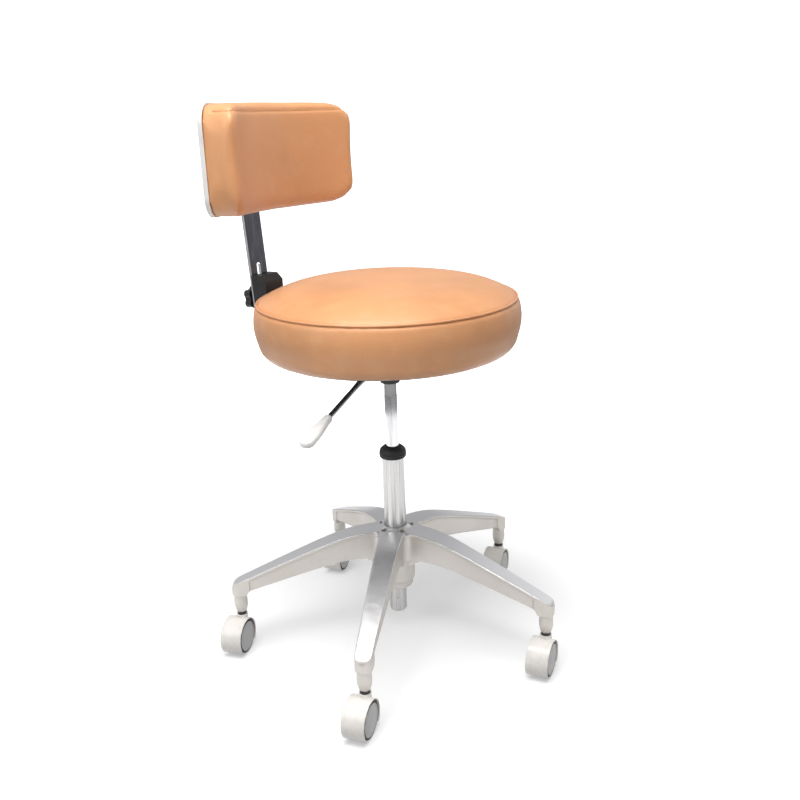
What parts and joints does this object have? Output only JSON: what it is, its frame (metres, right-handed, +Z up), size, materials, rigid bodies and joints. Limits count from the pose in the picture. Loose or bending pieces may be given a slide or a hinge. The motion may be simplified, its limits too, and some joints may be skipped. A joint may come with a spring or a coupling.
{
  "type": "dentist stool",
  "caption": "Round cushioned stool on a swivelling gas lift with a curved backrest, a lift lever and a cast star base on hooded twin-wheel casters.",
  "frame": {"origin": "on the floor, on the axis of the gas column, where the wheels stand", "axes": "+Z up; the sitter faces -Y and the backrest is at +Y; the lift lever points to -X"},
  "size_m": [0.5533, 0.5414, 0.845],
  "materials": {
    "cast_aluminium": "satin cast",
    "satin_steel": "satin",
    "chrome": "polished",
    "steel": "zinc plated",
    "dark_steel": "blackened",
    "black_plastic": "matt",
    "black_rubber": "matt",
    "ivory_plastic": "moulded, semi-gloss",
    "grey_plastic": "matt",
    "brass": "turned",
    "black_paint": "satin black",
    "plywood": "raw",
    "lining": "woven",
    "tan_leather": "soft gloss upholstery"
  },
  "bodies": {
    "base": {"star_base": "cast_aluminium", "outer_column": "satin_steel", "guide_bush": "black_plastic", "column_collar": "black_rubber", "thrust_bearing": "steel", "stem_sleeves": "dark_steel"},
    "caster_1": {"caster_hood_1": "ivory_plastic", "caster_stem_1": "dark_steel", "caster_axle_1": "steel"},
    "wheel_left_body_1": {"wheel_left_1": "grey_plastic"},
    "wheel_right_body_1": {"wheel_right_1": "grey_plastic"},
    "caster_2": {"caster_hood_2": "ivory_plastic", "caster_stem_2": "dark_steel", "caster_axle_2": "steel"},
    "wheel_left_body_2": {"wheel_left_2": "grey_plastic"},
    "wheel_right_body_2": {"wheel_right_2": "grey_plastic"},
    "caster_3": {"caster_hood_3": "ivory_plastic", "caster_stem_3": "dark_steel", "caster_axle_3": "steel"},
    "wheel_left_body_3": {"wheel_left_3": "grey_plastic"},
    "wheel_right_body_3": {"wheel_right_3": "grey_plastic"},
    "caster_4": {"caster_hood_4": "ivory_plastic", "caster_stem_4": "dark_steel", "caster_axle_4": "steel"},
    "wheel_left_body_4": {"wheel_left_4": "grey_plastic"},
    "wheel_right_body_4": {"wheel_right_4": "grey_plastic"},
    "caster_5": {"caster_hood_5": "ivory_plastic", "caster_stem_5": "dark_steel", "caster_axle_5": "steel"},
    "wheel_left_body_5": {"wheel_left_5": "grey_plastic"},
    "wheel_right_body_5": {"wheel_right_5": "grey_plastic"},
    "piston": {"piston_rod": "steel", "retaining_clip": "dark_steel"},
    "lift": {"gas_cylinder": "chrome", "seat_mechanism": "black_paint", "mechanism_screws": "steel", "board_nuts": "steel", "seat_board": "plywood", "dust_cover": "lining", "seat_cushion": "tan_leather", "lever_pivot_pin": "steel", "back_bracket": "black_paint", "bracket_bolts": "steel", "guide_block": "black_plastic", "block_screws": "steel"},
    "valve": {"valve_pin": "brass"},
    "lever": {"release_lever": "steel", "lever_paddle": "ivory_plastic"},
    "back_slide": {"back_bar": "chrome"},
    "knob": {"clamp_knob": "black_plastic"},
    "back": {"tilt_bracket": "black_paint", "tilt_pin": "steel", "tilt_bracket_screws": "steel", "back_shell": "ivory_plastic", "back_board": "plywood", "back_cushion": "tan_leather"}
  },
  "joints": [
    {"name": "caster_swivel_1", "type": "hinge", "parent": "base", "child": "caster_1", "pos_m": [0.00897, -0.25684, 0.08], "axis": [0, 0, 1], "continuous": true},
    {"name": "wheel_spin_left_1", "type": "hinge", "parent": "caster_1", "child": "wheel_left_body_1", "pos_m": [-0.01095, -0.25859, 0.027], "axis": [0.0872, -0.9962, 0], "continuous": true},
    {"name": "wheel_spin_right_1", "type": "hinge", "parent": "caster_1", "child": "wheel_right_body_1", "pos_m": [-0.01095, -0.25859, 0.027], "axis": [0.0872, -0.9962, 0], "continuous": true},
    {"name": "caster_swivel_2", "type": "hinge", "parent": "base", "child": "caster_2", "pos_m": [0.24704, -0.07084, 0.08], "axis": [0, 0, 1], "continuous": true},
    {"name": "wheel_spin_left_2", "type": "hinge", "parent": "caster_2", "child": "wheel_left_body_2", "pos_m": [0.22724, -0.07362, 0.027], "axis": [0.1392, -0.9903, 0], "continuous": true},
    {"name": "wheel_spin_right_2", "type": "hinge", "parent": "caster_2", "child": "wheel_right_body_2", "pos_m": [0.22724, -0.07362, 0.027], "axis": [0.1392, -0.9903, 0], "continuous": true},
    {"name": "caster_swivel_3", "type": "hinge", "parent": "base", "child": "caster_3", "pos_m": [0.14371, 0.21306, 0.08], "axis": [0, 0, 1], "continuous": true},
    {"name": "wheel_spin_left_3", "type": "hinge", "parent": "caster_3", "child": "wheel_left_body_3", "pos_m": [0.12415, 0.2089, 0.027], "axis": [0.2079, -0.9781, 0], "continuous": true},
    {"name": "wheel_spin_right_3", "type": "hinge", "parent": "caster_3", "child": "wheel_right_body_3", "pos_m": [0.12415, 0.2089, 0.027], "axis": [0.2079, -0.9781, 0], "continuous": true},
    {"name": "caster_swivel_4", "type": "hinge", "parent": "base", "child": "caster_4", "pos_m": [-0.15823, 0.20252, 0.08], "axis": [0, 0, 1], "continuous": true},
    {"name": "wheel_spin_left_4", "type": "hinge", "parent": "caster_4", "child": "wheel_left_body_4", "pos_m": [-0.17754, 0.19734, 0.027], "axis": [0.2588, -0.9659, 0], "continuous": true},
    {"name": "wheel_spin_right_4", "type": "hinge", "parent": "caster_4", "child": "wheel_right_body_4", "pos_m": [-0.17754, 0.19734, 0.027], "axis": [0.2588, -0.9659, 0], "continuous": true},
    {"name": "caster_swivel_5", "type": "hinge", "parent": "base", "child": "caster_5", "pos_m": [-0.2415, -0.0879, 0.08], "axis": [0, 0, 1], "continuous": true},
    {"name": "wheel_spin_left_5", "type": "hinge", "parent": "caster_5", "child": "wheel_left_body_5", "pos_m": [-0.2612, -0.09137, 0.027], "axis": [0.1736, -0.9848, 0], "continuous": true},
    {"name": "wheel_spin_right_5", "type": "hinge", "parent": "caster_5", "child": "wheel_right_body_5", "pos_m": [-0.2612, -0.09137, 0.027], "axis": [0.1736, -0.9848, 0], "continuous": true},
    {"name": "seat_swivel", "type": "hinge", "parent": "base", "child": "piston", "pos_m": [0, 0, 0.052], "axis": [0, 0, 1], "continuous": true},
    {"name": "seat_lift", "type": "slide", "parent": "piston", "child": "lift", "axis": [0, 0, 1], "range_m": [-0.085, 0.045]},
    {"name": "lever_lift", "type": "hinge", "parent": "lift", "child": "lever", "pos_m": [-0.03, 0, 0.47], "axis": [0, 1, 0], "range_deg": [0, 8], "stiffness_Nm_per_rad": 4, "springref_deg": -8.59},
    {"name": "valve_press", "type": "slide", "parent": "lift", "child": "valve", "axis": [0, 0, -1], "range_m": [0, 0.005]},
    {"name": "back_height", "type": "slide", "parent": "lift", "child": "back_slide", "axis": [0, 0.0698, 0.9976], "range_m": [-0.025, 0.03]},
    {"name": "knob_turn", "type": "hinge", "parent": "lift", "child": "knob", "pos_m": [0, 0.2387, 0.54498], "axis": [0, 0.9976, -0.0698], "range_deg": [0, 180]},
    {"name": "back_tilt", "type": "hinge", "parent": "back_slide", "child": "back", "pos_m": [0, 0.25408, 0.765], "axis": [-1, 0, 0], "range_deg": [-3, 12]}
  ],
  "couplings": [
    {"joint": "valve_press", "follows": "lever_lift", "m_per_rad": 0.032}
  ]
}
